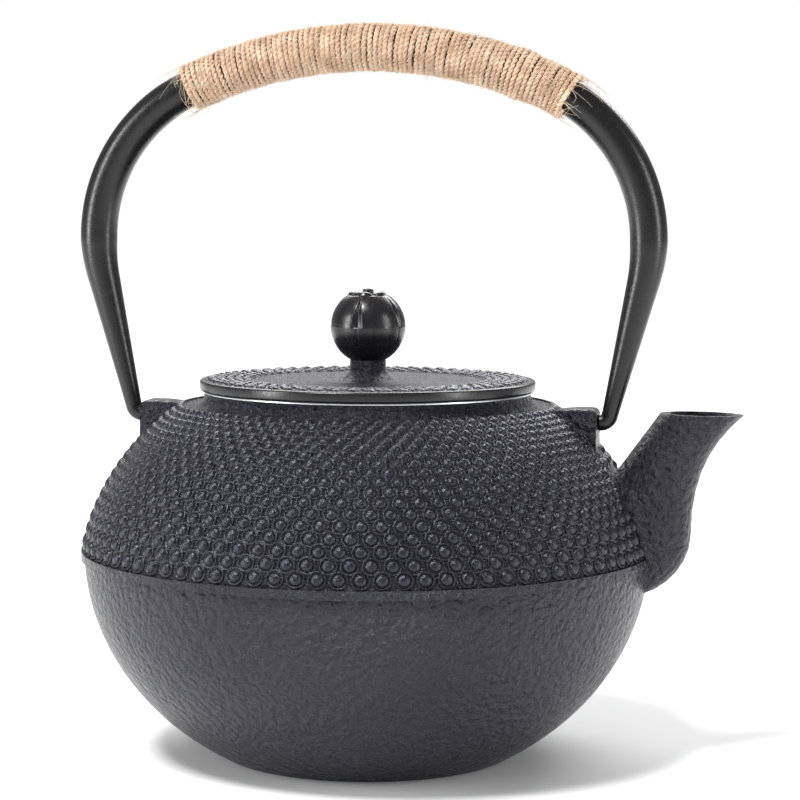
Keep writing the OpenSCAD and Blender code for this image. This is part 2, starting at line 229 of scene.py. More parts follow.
def cast_iron(name, skin_mm, depth, tone="#0E0E12", shine="#19181F", rough=0.25):
    """Sand-cast grey iron under thin black enamel: the mould's hide-like skin shows through
    as small swollen cells with creases between them, and the enamel's satin gloss catches
    on every swelling."""
    made, tree, shader, place = new_material(
        name, {"IOR": 1.5, "Specular IOR Level": 0.6, "Specular Tint": colour("#E4E4F4")})
    warp = add(tree, "ShaderNodeTexNoise", {"Scale": per_metre(skin_mm * 1.6), "Detail": 3.0},
               {"Vector": place})
    bent = add(tree, "ShaderNodeMix",
               {"data_type": "RGBA", "blend_type": "LINEAR_LIGHT", 0: 0.0011},
               {6: place, 7: warp.outputs["Color"]})
    cells = add(tree, "ShaderNodeTexVoronoi",
                {"feature": "SMOOTH_F1", "Scale": per_metre(skin_mm), "Smoothness": 0.35},
                {"Vector": bent.outputs[2]})
    pits = add(tree, "ShaderNodeTexNoise",
               {"Scale": per_metre(skin_mm * 0.45), "Detail": 5.0, "Roughness": 0.6},
               {"Vector": place})
    relief = add(tree, "ShaderNodeMath", {"operation": "MULTIPLY_ADD", 1: -1.0},
                 {0: cells.outputs["Distance"]})
    tree.links.new(pits.outputs["Fac"], relief.inputs[2])
    bump = add(tree, "ShaderNodeBump", {"Strength": 0.9, "Distance": depth},
               {"Height": relief.outputs[0]})
    tree.links.new(bump.outputs["Normal"], shader.inputs["Normal"])
    drift = add(tree, "ShaderNodeTexNoise", {"Scale": per_metre(22), "Detail": 2.0},
                {"Vector": place})
    tint = add(tree, "ShaderNodeMix", {"data_type": "RGBA", 6: colour(tone), 7: colour(shine)},
               {0: drift.outputs["Fac"]})
    tree.links.new(tint.outputs[2], shader.inputs["Base Color"])
    gloss = ramp(tree, pits.outputs["Fac"], [(0.3, rough - 0.07), (0.7, rough + 0.1)])
    tree.links.new(gloss, shader.inputs["Roughness"])
    return made


def baked_black(name, tone, shine, rough, peel_mm, depth):
    """Baked black paint on smooth metal: nearly even, with the faint orange peel of a
    sprayed coat that breaks long highlights."""
    made, tree, shader, place = new_material(name, {"IOR": 1.5, "Specular IOR Level": 0.5})
    peel = add(tree, "ShaderNodeTexNoise",
               {"Scale": per_metre(peel_mm), "Detail": 3.0, "Roughness": 0.55},
               {"Vector": place})
    bump = add(tree, "ShaderNodeBump", {"Strength": 0.5, "Distance": depth},
               {"Height": peel.outputs["Fac"]})
    tree.links.new(bump.outputs["Normal"], shader.inputs["Normal"])
    drift = add(tree, "ShaderNodeTexNoise", {"Scale": per_metre(15), "Detail": 3.0},
                {"Vector": place})
    tint = add(tree, "ShaderNodeMix", {"data_type": "RGBA", 6: colour(tone), 7: colour(shine)},
               {0: drift.outputs["Fac"]})
    tree.links.new(tint.outputs[2], shader.inputs["Base Color"])
    gloss = ramp(tree, peel.outputs["Fac"], [(0.3, rough - 0.05), (0.7, rough + 0.08)])
    tree.links.new(gloss, shader.inputs["Roughness"])
    return made


def stainless(name, tone, rough, grain_mm):
    """Pressed stainless steel: bright, with fine polishing lines around it."""
    made, tree, shader, place = new_material(name, {"Metallic": 1.0})
    stretch = add(tree, "ShaderNodeMapping", {"Scale": (1.0, 1.0, 14.0)}, {"Vector": place})
    lines = add(tree, "ShaderNodeTexNoise",
                {"Scale": per_metre(grain_mm), "Detail": 4.0, "Roughness": 0.7},
                {"Vector": stretch.outputs[0]})
    tint = ramp(tree, lines.outputs["Fac"], [(0.3, tone), (0.75, "#E4E5E7")])
    tree.links.new(tint, shader.inputs["Base Color"])
    gloss = ramp(tree, lines.outputs["Fac"], [(0.25, rough - 0.06), (0.75, rough + 0.08)])
    tree.links.new(gloss, shader.inputs["Roughness"])
    bump = add(tree, "ShaderNodeBump", {"Strength": 0.15, "Distance": 0.02 * MM},
               {"Height": lines.outputs["Fac"]})
    tree.links.new(bump.outputs["Normal"], shader.inputs["Normal"])
    return made


def threaded_steel(name, pitch_mm):
    """Zinc-plated steel with a rolled thread: grey, and ridged across its length. The ridges
    stand about six pitches apart, coarser than the real thread."""
    made, tree, shader, place = new_material(name, {"Metallic": 1.0, "Roughness": 0.34})
    ridges = add(tree, "ShaderNodeTexWave",
                 {"bands_direction": "Z", "Scale": per_metre(pitch_mm) / 20},
                 {"Vector": place})
    bump = add(tree, "ShaderNodeBump", {"Strength": 1.0, "Distance": 0.3 * MM},
               {"Height": ridges.outputs["Fac"]})
    tree.links.new(bump.outputs["Normal"], shader.inputs["Normal"])
    grime = add(tree, "ShaderNodeTexNoise", {"Scale": per_metre(2.5)}, {"Vector": place})
    tint = ramp(tree, grime.outputs["Fac"], [(0.3, "#8E8F92"), (0.8, "#C2C3C4")])
    tree.links.new(tint, shader.inputs["Base Color"])
    return made


def jute(name, dark, mid, light):
    """Spun jute: pale straw fibres laid side by side, dry and matt, with the sheen of loose fuzz.
    Its colour wanders by noise between a dark stop of painted shade and a light stop of
    painted highlight."""
    made, tree, shader, place = new_material(
        name, {"Sheen Weight": 0.35, "Sheen Roughness": 0.6, "Specular IOR Level": 0.2})
    fibres = add(tree, "ShaderNodeTexNoise",
                 {"Scale": per_metre(0.35), "Detail": 6.0, "Roughness": 0.7, "Distortion": 0.8},
                 {"Vector": place})
    blotch = add(tree, "ShaderNodeTexNoise", {"Scale": per_metre(5), "Detail": 3.0},
                 {"Vector": place})
    mixed = add(tree, "ShaderNodeMix", {"data_type": "RGBA", 0: 0.4},
                {6: fibres.outputs["Color"], 7: blotch.outputs["Color"]})
    grey = add(tree, "ShaderNodeRGBToBW", links={0: mixed.outputs[2]})
    # Painted shade and highlight: the dark stop stands for shade between turns and the light stop
    # for highlights, spread at random by noise
    tint = ramp(tree, grey.outputs[0], [(0.33, dark), (0.48, mid), (0.64, light)])
    tree.links.new(tint, shader.inputs["Base Color"])
    gloss = ramp(tree, fibres.outputs["Fac"], [(0.2, 0.72), (0.8, 0.95)])
    tree.links.new(gloss, shader.inputs["Roughness"])
    bump = add(tree, "ShaderNodeBump", {"Strength": 0.8, "Distance": 0.12 * MM},
               {"Height": fibres.outputs["Fac"]})
    tree.links.new(bump.outputs["Normal"], shader.inputs["Normal"])
    return made


iron_skin = cast_iron("enamelled_cast_iron", 2.3, 1.5 * MM)
iron_nob = cast_iron("enamelled_cast_nobs", 0.9, 0.14 * MM, "#0E0E12", "#17161D", 0.22)
iron_lid = cast_iron("enamelled_lid_iron", 1.2, 0.7 * MM)
iron_band = baked_black("enamelled_lid_edge", "#0B0B0D", "#131215", 0.27, 0.9, 0.03 * MM)
knob_gloss = baked_black("enamelled_knob", "#0D0C0F", "#151418", 0.27, 1.1, 0.04 * MM)
bail_paint = baked_black("baked_bail_paint", "#060607", "#0D0D0F", 0.29, 0.8, 0.04 * MM)
sheet_steel = stainless("pressed_stainless", "#D5D6D8", 0.28, 0.5)
wire_steel = stainless("stainless_wire", "#A9ABAE", 0.30, 0.3)
zinc_thread = threaded_steel("zinc_plated_thread", 0.8)
zinc_plain = stainless("zinc_plated_steel", "#9FA0A3", 0.34, 0.8)
# In both jutes the dark stop is painted shade and the light stop a painted highlight
jute_strand = jute("spun_jute", "#6A4A38", "#CBA888", "#F4E0C8")
jute_fuzz = jute("loose_jute_fibre", "#A98668", "#DDC0A2", "#F8EAD6")


# ---- Pot ----


def shoulder_curve():
    """Centre of the shoulder's arc and its angles at the belt and at the top."""
    low = Vector((FIELD_R, BELT_Z))
    top = Vector((SHOULDER_TOP_R, SHOULDER_TOP_Z))
    half = (top - low) / 2
    reach = math.sqrt(SHOULDER_CURVE**2 - half.length_squared)
    centre = (low + top) / 2 - Vector((half.y, -half.x)).normalized() * reach
    to_low = low - centre
    to_top = top - centre
    return centre, math.atan2(to_low.y, to_low.x), math.atan2(to_top.y, to_top.x)


# A nob's profile from the outside in: a faint lip and the punched groove, then the dome
LIP_PROFILE_MM = [(2.75, -0.15), (2.62, 0.20), (2.40, 0.36), (2.20, 0.30), (2.02, -0.02)]
DOME_R_MM = 1.84
DOME_H_MM = 1.18
DOME_RINGS = 5
# Below 1 gives the dome steeper sides and a flatter top than a ball's
DOME_ROUNDNESS = 0.9


def nob_outline(scale):
    """(distance, height) points over one nob, and the height of its tip."""
    dome = []
    for k in range(DOME_RINGS):
        a = k / DOME_RINGS * math.pi / 2
        dome.append((DOME_R_MM * math.cos(a) ** DOME_ROUNDNESS, DOME_H_MM * math.sin(a)))
    outline = [(d * scale * MM, h * scale * MM) for d, h in LIP_PROFILE_MM + dome]
    return outline, DOME_H_MM * scale * MM


def nobs(places, sides=14):
    """Points and faces of nobs standing at (point, outward direction, scale)."""
    angles = np.arange(sides) * TAU / sides
    verts = []
    faces = []
    for point, out, scale in places:
        outline, peak = nob_outline(scale)
        side = out.orthogonal().normalized()
        across = out.cross(side)
        start = len(verts)
        for distance, height in outline:
            for a in angles:
                verts.append(point + out * height
                             + (side * math.cos(a) + across * math.sin(a)) * distance)
        verts.append(point + out * peak)
        faces.extend(grid_faces(len(outline), sides, start=start))
        last = start + (len(outline) - 1) * sides
        tip = start + len(outline) * sides
        faces.extend((last + i, last + (i + 1) % sides, tip) for i in range(sides))
        faces.append(tuple(start + i for i in range(sides - 1, -1, -1)))
    return verts, faces


# Where no nob stands: inside the spout's root, and under the ears from EAR_LOW_Z up. On the
# spout's side the nobs between the root and SPOUT_BAND_TOP stay.
SPOUT_ROOT_HALF = 11.0 * MM
SPOUT_ROOT_TOP = 85.5 * MM
SPOUT_BAND_TOP = 88 * MM
EAR_HALF = 6.6 * MM
EAR_INNER_X = 55 * MM
EAR_LOW_Z = 86 * MM


def covered(point):
    """Whether a shoulder point lies inside the spout's root or an ear."""
    beside_spout = point.x > 0 and abs(point.y) < SPOUT_ROOT_HALF
    if beside_spout and BELT_Z - MM < point.z < SPOUT_BAND_TOP:
        return point.z < SPOUT_ROOT_TOP
    beside_ear = abs(point.y) < EAR_HALF and abs(point.x) > EAR_INNER_X
    return beside_ear and point.z > EAR_LOW_Z


def shoulder_nobs():
    """Staggered rows from the belt up to the leathery ring at the neck."""
    per_row = 90
    rows = 17
    centre, at_belt, at_top = shoulder_curve()
    above_belt = 2.6 * MM
    below_top = 0.6 * MM
    first = at_belt + above_belt / SHOULDER_CURVE
    last = at_top - below_top / SHOULDER_CURVE
    # Rows close up as the rings get smaller
    gaps = np.linspace(1.25, 0.75, rows - 1)
    angles = first + (last - first) * np.concatenate([[0], np.cumsum(gaps)]) / gaps.sum()
    places = []
    for row, angle in enumerate(angles):
        r = centre.x + SHOULDER_CURVE * math.cos(angle)
        z = centre.y + SHOULDER_CURVE * math.sin(angle)
        scale = 0.98 * (r / FIELD_R) ** 1.15
        for i in range(per_row):
            turn = TAU * (i + 0.5 * (row % 2)) / per_row
            ray = Vector((math.cos(turn), math.sin(turn), 0))
            point = ray * r + Vector((0, 0, z))
            out = ray * math.cos(angle) + Vector((0, 0, math.sin(angle)))
            if not covered(point):
                places.append((point, out, scale))
    return places


def make_pot():
    """The casting keeps its CAD shape, with smooth faces and crisp edges, and gets nobs."""
    for name in ("pot_bowl", "pot_shoulder", "spout"):
        casting = nodes[name]
        weld = casting.modifiers.new("weld", "WELD")
        weld.merge_threshold = 0.005 * MM
        split = casting.modifiers.new("sharp_edges", "EDGE_SPLIT")
        split.split_angle = math.radians(32)
        casting.data.shade_smooth()
        casting.data.materials.clear()
        casting.data.materials.append(iron_skin)
    verts, faces = nobs(shoulder_nobs())
    piece("shoulder_nobs", verts, faces, "pot", [], iron_nob)


# ---- Lid ----


def make_lid():
    """The lid turned with eased edges, a raised rim, a flared pillar and a skirt, and
    staggered rings of nobs inside the rim."""
    foot = 7.6 * MM
    neck = 5.2 * MM
    neck_low = LID_TOP + 2.2 * MM
    skirt_out = 40.7 * MM
    skirt_in = 38.2 * MM
    skirt_low = FLANGE_TOP - 5 * MM
    hole = STUD_R + 0.3 * MM
    field_z = LID_TOP - 0.25 * MM
    rim_in = LID_R - 1.6 * MM
    outline = rounded([
        (hole, FLANGE_TOP, 0), (skirt_in, FLANGE_TOP, 0.4 * MM), (skirt_in, skirt_low, 0.5 * MM),
        (skirt_out, skirt_low, 0.8 * MM), (skirt_out, FLANGE_TOP, 0.3 * MM),
        (LID_R, FLANGE_TOP, 0.9 * MM), (LID_R, LID_TOP, 0.8 * MM),
        (rim_in, LID_TOP, 0.15 * MM), (LID_R - 1.8 * MM, field_z, 0.1 * MM),
        (foot, field_z, 1.6 * MM), (neck, neck_low, 1.2 * MM),
        (neck, PILLAR_TOP, 0.3 * MM), (hole, PILLAR_TOP, 0)], 5)
    verts, faces = turned(outline, 256)
    lid = piece("lid_casting", verts, faces, "lid", ["lid_plate"], iron_lid)
    lid.data.materials.append(iron_band)
    for polygon in lid.data.polygons:
        middle = polygon.center
        if math.hypot(middle.x, middle.y) > LID_R - 1.7 * MM:
            polygon.material_index = 1
    places = []
    rows = 5
    per_row = 60
    row_step = 2.45 * MM
    outer_row = LID_R - 3.6 * MM
    for row in range(rows):
        r = outer_row - row * row_step
        for i in range(per_row):
            turn = TAU * (i + 0.5 * (row % 2)) / per_row
            point = Vector((r * math.cos(turn), r * math.sin(turn), field_z))
            places.append((point, Vector((0, 0, 1)), 0.92 * r / LID_R))
    nob_verts, nob_faces = nobs(places)
    piece("lid_nobs", nob_verts, nob_faces, "lid", [], iron_nob)


# ---- Knob ----


LEAVES = 5
LEAF_HEIGHT = math.radians(52)
LEAF_HALF_WIDTH = math.radians(8.5)
LEAF_DEPTH = 0.75 * MM
STEM_HEIGHT = math.radians(30)
STEM_HALF_WIDTH = math.radians(2.2)
STEM_DEPTH = 0.2 * MM
MOULD_LINE_HALF = math.radians(1.6)
MOULD_LINE_H = 0.03 * MM
# How far the leaves are turned, as a share of the pitch from one to the next
LEAF_TURN = 0.33
PETALS = 5
PETAL_TURN = 0.4
# (radius, depth below the tip) of the button in the middle of the blossom
BUTTON_PROFILE_MM = ((1.6, 0.9), (1.55, 0.35), (1.25, 0.08), (0.7, 0.0), (0.02, 0.12))


def knob_radius_change(polar, turn):
    """How far the ball's face moves in or out at a polar angle from the top and a turn:
    five leaf cuts, the fine line that runs down from each, and the mould's parting line."""
    change = 0.0
    leaf = (turn / TAU * LEAVES + LEAF_TURN) % 1
    from_leaf = min(leaf, 1 - leaf) / LEAVES * TAU
    height = math.pi / 2 - polar
    if 0 <= height < LEAF_HEIGHT:
        width = LEAF_HALF_WIDTH * (1 - height / LEAF_HEIGHT) ** 0.8
        if width > 0 and from_leaf < width:
            change -= LEAF_DEPTH * (1 - from_leaf / width) ** 0.7
    elif -STEM_HEIGHT < height < 0:
        if from_leaf < STEM_HALF_WIDTH:
            change -= STEM_DEPTH * (1 - from_leaf / STEM_HALF_WIDTH)
    if abs(height) < MOULD_LINE_HALF:
        change += MOULD_LINE_H
    return change


def make_knob():
    """One closed mesh: the stud's hole, the ball, the petals and the button. The stud, the
    washer and the nut keep their CAD shape."""
    centre = knob_low.z + BALL_R
    segments = 240
    rows = 150
    cap_r = 6.15 * MM
    button_r = 1.5 * MM
    hole_depth = 10 * MM
    cap_polar = math.asin(cap_r / BALL_R)
    hole_polar = math.pi - math.asin(STUD_R / BALL_R)
    turns = np.arange(segments) * TAU / segments
    verts = []
    # The stud's hole from its top down, then the ball up to the blossom
    hole_top = centre - BALL_R + hole_depth
    for r, z in ((0.02 * MM, hole_top), (STUD_R, hole_top), (STUD_R, centre - BALL_R + 1.5 * MM)):
        verts.extend((r * math.cos(t), r * math.sin(t), z) for t in turns)
    for k in range(rows):
        polar = hole_polar + (cap_polar - hole_polar) * k / (rows - 1)
        for t in turns:
            r = BALL_R + knob_radius_change(polar, t)
            verts.append((r * math.sin(polar) * math.cos(t), r * math.sin(polar) * math.sin(t),
                          centre + r * math.cos(polar)))
    seat = centre + BALL_R * math.cos(cap_polar)
    # The blossom: five round petals with dimpled middles, then the button
    petal_rows = 26
    for k in range(petal_rows):
        s = 1 - k / petal_rows
        for t in turns:
            petal = abs(math.cos(PETALS / 2 * (t + PETAL_TURN)))
            rim = cap_r * (0.80 + 0.20 * petal**0.7)
            r = button_r + (rim - button_r) * s
            edge = min(1.0, k / 4)
            crown = math.sin(min(1.0, (1 - s) * 1.6) * math.pi) * 0.55 * petal
            notch = (1 - petal) ** 3 * 0.7
            height = edge * (0.55 + crown - 0.8 * notch) + 0.45 * (1 - s)
            verts.append((r * math.cos(t), r * math.sin(t), seat + height * MM))
    top = knob_high.z
    for r_mm, drop in BUTTON_PROFILE_MM:
        verts.extend((r_mm * MM * math.cos(t), r_mm * MM * math.sin(t), top - drop * MM)
                     for t in turns)
    count = len(verts) // segments
    faces = grid_faces(count, segments)
    faces.append(tuple(range(segments - 1, -1, -1)))
    faces.append(tuple((count - 1) * segments + i for i in range(segments)))
    piece("knob_ball", verts, faces, "lid", ["lid_knob"], knob_gloss)
    nodes["knob_stud"].data.materials.clear()
    nodes["knob_stud"].data.materials.append(zinc_thread)
    for name in ("knob_washer", "knob_nut"):
        node = nodes[name]
        node.data.materials.clear()
        node.data.materials.append(zinc_plain)
        bevel = node.modifiers.new("eased_edges", "BEVEL")
        bevel.width = 0.15 * MM
        bevel.segments = 2


# ---- Strainer ----


def make_strainer():
    """The pressed collar, the woven wall and floor, and the rolled ring that joins them."""
    sheet = 0.6 * MM
    ring_sheet = 0.4 * MM
    flange_r = flange_high.y
    collar_out = 41.9 * MM
    collar_in = collar_out - sheet
    collar_low = flange_low.z
    rim_low = FLANGE_TOP - sheet
    outline = rounded([
        (collar_in, FLANGE_TOP, 0.5 * MM), (collar_in, collar_low, 0.2 * MM),
        (collar_out, collar_low, 0.2 * MM), (collar_out, rim_low, 0.25 * MM),
        (flange_r, rim_low, 0.2 * MM), (flange_r, FLANGE_TOP, 0.25 * MM)], 4)
    verts, faces = turned(outline, 256)
    piece("strainer_collar", verts, faces, "strainer", ["strainer_flange"],
          sheet_steel)

    wall_r = mesh_high.y - 0.25 * MM
    low, high = mesh_low.z, mesh_high.z
    wire_r = 0.15 * MM
    gap = 1.15 * MM
    uprights = int(TAU * wall_r / gap / 2) * 2
    hoops = int((high - low) / gap)
    weave = wire_r * 0.8
    parts = []
    levels = np.linspace(low + wire_r, high - wire_r, hoops * 2 + 1)
    for i in range(uprights):
        turn = TAU * i / uprights
        lean = weave * np.cos(np.arange(len(levels)) * math.pi / 2 + (i % 2) * math.pi)
        r = wall_r + lean
        path = np.stack([r * math.cos(turn), r * math.sin(turn), levels], -1)
        out = np.tile([math.cos(turn), math.sin(turn), 0.0], (len(path), 1))
        parts.append(tube(path, wire_r, 4, out))
    for k in range(hoops):
        z = levels[2 * k + 1]
        steps = uprights
        a = np.arange(steps) * TAU / steps
        r = wall_r - weave * np.cos(np.arange(steps) * math.pi + (k % 2) * math.pi)
        ring = np.arange(4) * TAU / 4
        cross_r = r[:, None] + wire_r * np.cos(ring)
        cross_z = z + wire_r * np.sin(ring) + 0 * r[:, None]
        verts = np.stack([cross_r * np.cos(a)[:, None], cross_r * np.sin(a)[:, None], cross_z], -1)
        parts.append((verts.reshape(-1, 3), grid_faces(steps, 4, closed_rows=True)))
    verts, faces = joined(parts)
    piece("woven_wall", verts, faces, "strainer", ["strainer_wall"], wire_steel)

    floor_z = ring_low.z + 0.75 * MM
    floor_r = wall_r
    count = int(floor_r / gap)
    parts = []
    for i in range(-count, count + 1):
        offset = i * gap
        half = math.sqrt(floor_r**2 - offset**2)
        steps = max(3, int(2 * half / gap))
        run = np.linspace(-half, half, steps)
        wave = 0.1 * MM * np.cos(run / gap * math.pi)
        up = np.tile([0.0, 0.0, 1.0], (steps, 1))
        sign = 1 if i % 2 else -1
        parts.append(tube(np.stack([run, 0 * run + offset, floor_z + sign * wave], -1),
                          wire_r, 4, up))
        parts.append(tube(np.stack([0 * run + offset, run, floor_z - sign * wave], -1),
                          wire_r, 4, up))
    verts, faces = joined(parts)
    piece("woven_floor", verts, faces, "strainer", ["strainer_floor"],
          wire_steel)

    ring_r = ring_high.y
    lip = ring_r - 2.9 * MM
    ring_in = ring_r - ring_sheet
    floor_top = ring_low.z + ring_sheet
    outline = rounded([
        (lip, ring_low.z, 0.1 * MM), (ring_r, ring_low.z, 0.45 * MM),
        (ring_r, ring_high.z, 0.15 * MM), (ring_in, ring_high.z, 0.15 * MM),
        (ring_in, floor_top, 0.2 * MM), (lip, floor_top, 0.1 * MM)], 3)
    verts, faces = turned(outline, 192)
    piece("rolled_base_ring", verts, faces, "strainer", ["strainer_base_ring"],
          sheet_steel)


# ---- Bail ----

EAR_REACH = 67.2 * MM
PIN_R = 2.2 * MM
TUBE_R = bail_high.y
HOOK_TUBE_R = 2.4 * MM
HOOK_R = 2.6 * MM
TAPER = 50 * MM
BAIL_REACH = bail_high.x - TUBE_R
BAIL_SIDE_R = 48 * MM
BAIL_SIDE_H = 51.6 * MM
BAIL_RISE = bail_high.z - TUBE_R - HINGE_Z


class Bail:
    """The bail's centre line: hooks, straight legs, side arcs and a crown arc."""

    def __init__(self):
        self.hook = Vector((EAR_REACH + 0.8 * MM, HOOK_R))
        self.side = Vector((BAIL_REACH - BAIL_SIDE_R, BAIL_SIDE_H))
        drop = BAIL_RISE - self.side.y
        self.crown_r = (self.side.x**2 + drop**2 - BAIL_SIDE_R**2) / (2 * (drop - BAIL_SIDE_R))
        self.crown = Vector((0, BAIL_RISE - self.crown_r))
        self.crown_half = math.asin(self.side.x / (self.crown_r - BAIL_SIDE_R))
        span = self.side - self.hook
        self.lean = (math.atan2(span.y, -span.x)
                     - math.acos((BAIL_SIDE_R - HOOK_R) / span.length))
        out = Vector((math.cos(self.lean), -math.sin(self.lean)))
        self.leg_top = self.side + out * BAIL_SIDE_R
        self.leg_foot = self.hook + out * HOOK_R
        self.leg = (self.leg_top - self.leg_foot).length
        self.side_sweep = math.pi / 2 - self.crown_half + self.lean
        self.side_len = BAIL_SIDE_R * self.side_sweep
        self.crown_len = self.crown_r * self.crown_half
        self.half_len = self.leg + self.side_len + self.crown_len

    def at(self, s):
        """Point, heading angle and tube radius at s from the crown, positive to the spout."""
        sign = 1 if s >= 0 else -1
        left = abs(s)
        if left <= self.crown_len:
            a = math.pi / 2 - left / self.crown_r
            point = self.crown + Vector((math.cos(a), math.sin(a))) * self.crown_r
            heading = a - math.pi / 2
        elif left <= self.crown_len + self.side_len:
            a = math.pi / 2 - self.crown_half - (left - self.crown_len) / BAIL_SIDE_R
            point = self.side + Vector((math.cos(a), math.sin(a))) * BAIL_SIDE_R
            heading = a - math.pi / 2
        else:
            down = left - self.crown_len - self.side_len
            way = (self.leg_foot - self.leg_top).normalized()
            point = self.leg_top + way * down
            heading = math.atan2(way.y, way.x)
        near = max(0.0, (self.half_len - left) / TAPER)
        radius = HOOK_TUBE_R + (TUBE_R - HOOK_TUBE_R) * min(1.0, near) ** 1.1
        flipped = heading if sign > 0 else -heading
        place = Vector((sign * point.x, 0, HINGE_Z + point.y))
        return place, flipped, radius


bail = Bail()


def make_bail():
    """The tube with its hooks and turned pins, one smooth run from pin to pin."""
    stations = []
    steps = 260
    reach = bail.half_len
    for k in range(steps + 1):
        place, heading, radius = bail.at(reach * (1 - 2 * k / steps))
        # Travel runs from the spout's side to the back
        stations.append((place, -Vector((math.cos(heading), 0, math.sin(heading))), radius))
    hook = []
    hook_steps = 14
    for k in range(1, hook_steps + 1):
        a = -bail.lean + (-math.pi / 2 + bail.lean) * k / hook_steps
        point = bail.hook + Vector((math.cos(a), math.sin(a))) * HOOK_R
        along = Vector((-math.sin(a), 0, math.cos(a)))
        hook.append((Vector((point.x, 0, HINGE_Z + point.y)), along, HOOK_TUBE_R))
    pin = EAR_REACH - 5.8 * MM
    for x, radius in ((EAR_REACH + 0.55 * MM, HOOK_TUBE_R), (EAR_REACH + 0.32 * MM, HOOK_TUBE_R),
                      (EAR_REACH + 0.3 * MM, PIN_R), (pin + 0.3 * MM, PIN_R),
                      (pin, PIN_R - 0.3 * MM), (pin, PIN_R * 0.5), (pin + 1.2 * MM, PIN_R * 0.5)):
        hook.append((Vector((x, 0, HINGE_Z)), Vector((1, 0, 0)), radius))
    mirror = [(Vector((-p.x, 0, p.z)), Vector((t.x, 0, -t.z)), r) for p, t, r in hook]
    run = hook[::-1] + stations + mirror
    sides = 40
    verts = []
    for place, along, radius in run:
        up = Vector((-along.z, 0, along.x)).normalized()
        for i in range(sides):
            a = TAU * i / sides
            verts.append(place + up * (radius * math.cos(a))
                         + Vector((0, radius * math.sin(a), 0)))
    faces = grid_faces(len(run), sides)
    faces.append(tuple(range(sides - 1, -1, -1)))
    faces.append(tuple((len(run) - 1) * sides + i for i in range(sides)))
    piece("bail_tube", verts, faces, "handle", ["handle_bail"], bail_paint)


# ---- Twine ----

TWINE_R = 0.78 * MM
TWINE_PITCH = 1.56 * MM
GRIP_FRONT = 62 * MM
GRIP_BACK = 56 * MM
TUCKED_END = 45 * MM
LAST_LUMP = 60 * MM


def on_bail(s, turn, distance):
    """A point around the bail: s along it, turned from its outer side, at a distance from
    its centre line. Also gives the outward and the lengthwise directions."""
    place, heading, _ = bail.at(s)
    ahead = Vector((math.cos(heading), 0, math.sin(heading)))
    up = Vector((-ahead.z, 0, ahead.x))
    out = up * math.cos(turn) + Vector((0, 1, 0)) * math.sin(turn)
    return place + out * distance, out, ahead


def make_twine():
    """One layer of two-ply twine wound tight, with loose fibres standing off it."""
    rng = np.random.default_rng(7)
    length = GRIP_FRONT + GRIP_BACK
    turns = length / TWINE_PITCH
    per_turn = 96
    steps = int(turns * per_turn)
    plies = 2
    ply_r = TWINE_R * 0.60
    ply_out = TWINE_R * 0.46
    twist = 13.3

    def drift(every):
        """A smooth random wander with a new value every so many steps."""
        marks = np.arange(0, steps + every, every)
        return np.interp(np.arange(steps), marks, rng.normal(0, 1, len(marks)))

    wobble = drift(34)
    swell = drift(21)
    grip_r = TUBE_R + TWINE_R
    centres = np.zeros((steps, 3))
    outs = np.zeros((steps, 3))
    aheads = np.zeros((steps, 3))
    for k in range(steps):
        t = k / (steps - 1)
        s = -GRIP_BACK + TWINE_R + (length - 2 * TWINE_R) * t
        # A broad lump over the tucked-under end, and a narrow one at the spout's end
        lump = (math.exp(-((s - TUCKED_END) / (3 * MM)) ** 2)
                + 0.7 * math.exp(-((s - LAST_LUMP) / MM) ** 2))
        far = grip_r + abs(swell[k]) * 0.10 * MM + lump * 0.7 * MM
        point, out, ahead = on_bail(s + wobble[k] * 0.20 * MM, TAU * turns * t, far)
        centres[k] = point
        outs[k] = out
        aheads[k] = ahead
    parts = []
    phase = np.arange(steps) / per_turn * TAU * twist
    for ply in range(plies):
        b = phase + TAU * ply / plies
        path = (centres + outs * (ply_out * np.cos(b))[:, None]
                + aheads * (ply_out * np.sin(b))[:, None])
        parts.append(tube(path, ply_r * (1 + 0.10 * swell), 6, outs))
    verts, faces = joined(parts)
    piece("twine_wrap", verts, faces, "handle", ["grip_twine"], jute_strand)

    # Loose fibres: most are matted over the turns, and some stand up or hang off the ends
    fibre_count = 1900
    matted_count = 1860
    fibre_points = 8
    fibres = []
    for i in range(fibre_count):
        matted = i < matted_count
        if matted:
            s0 = rng.uniform(-GRIP_BACK, GRIP_FRONT)
            span = rng.normal(0, 3.5) * MM
            lift = rng.uniform(0.02, 0.35) * MM
            spread = rng.normal(0, 0.9)
            stand = max(0.0, rng.normal(-0.6, 0.8)) * MM
        else:
            end = GRIP_FRONT if i % 3 else -GRIP_BACK
            s0 = end - math.copysign(2 * MM, end)
            span = math.copysign(rng.uniform(4, 10) * MM, end)
            lift = rng.uniform(0.0, 0.6) * MM
            spread = rng.normal(0, 0.25)
            stand = rng.uniform(-1.2, 0.8) * MM
        turn0 = rng.uniform(0, TAU)
        curl = rng.normal(0, 0.5) * MM
        path = []
        ups = []
        for k in range(fibre_points):
            t = k / (fibre_points - 1)
            s = s0 + span * t + curl * math.sin(3 * t)
            if matted:
                s = min(max(s, -GRIP_BACK - MM), GRIP_FRONT + MM)
            far = grip_r + TWINE_R * 0.85 + lift * math.sin(math.pi * t) + stand * t * t
            point, out, _ = on_bail(s, turn0 + spread * t, far)
            path.append(point)
            ups.append(out + Vector((0.01, 0.02, 0.03)))
        width = rng.uniform(0.05, 0.10) * MM
        taper = np.linspace(width, width * 0.5, fibre_points)
        fibres.append(tube(path, taper, 3, np.array(ups)))
    verts, faces = joined(fibres)
    piece("loose_fibres", verts, faces, "handle", [], jute_fuzz)


make_pot()
make_lid()
make_knob()
make_strainer()
make_bail()
make_twine()


# ---- Studio ----


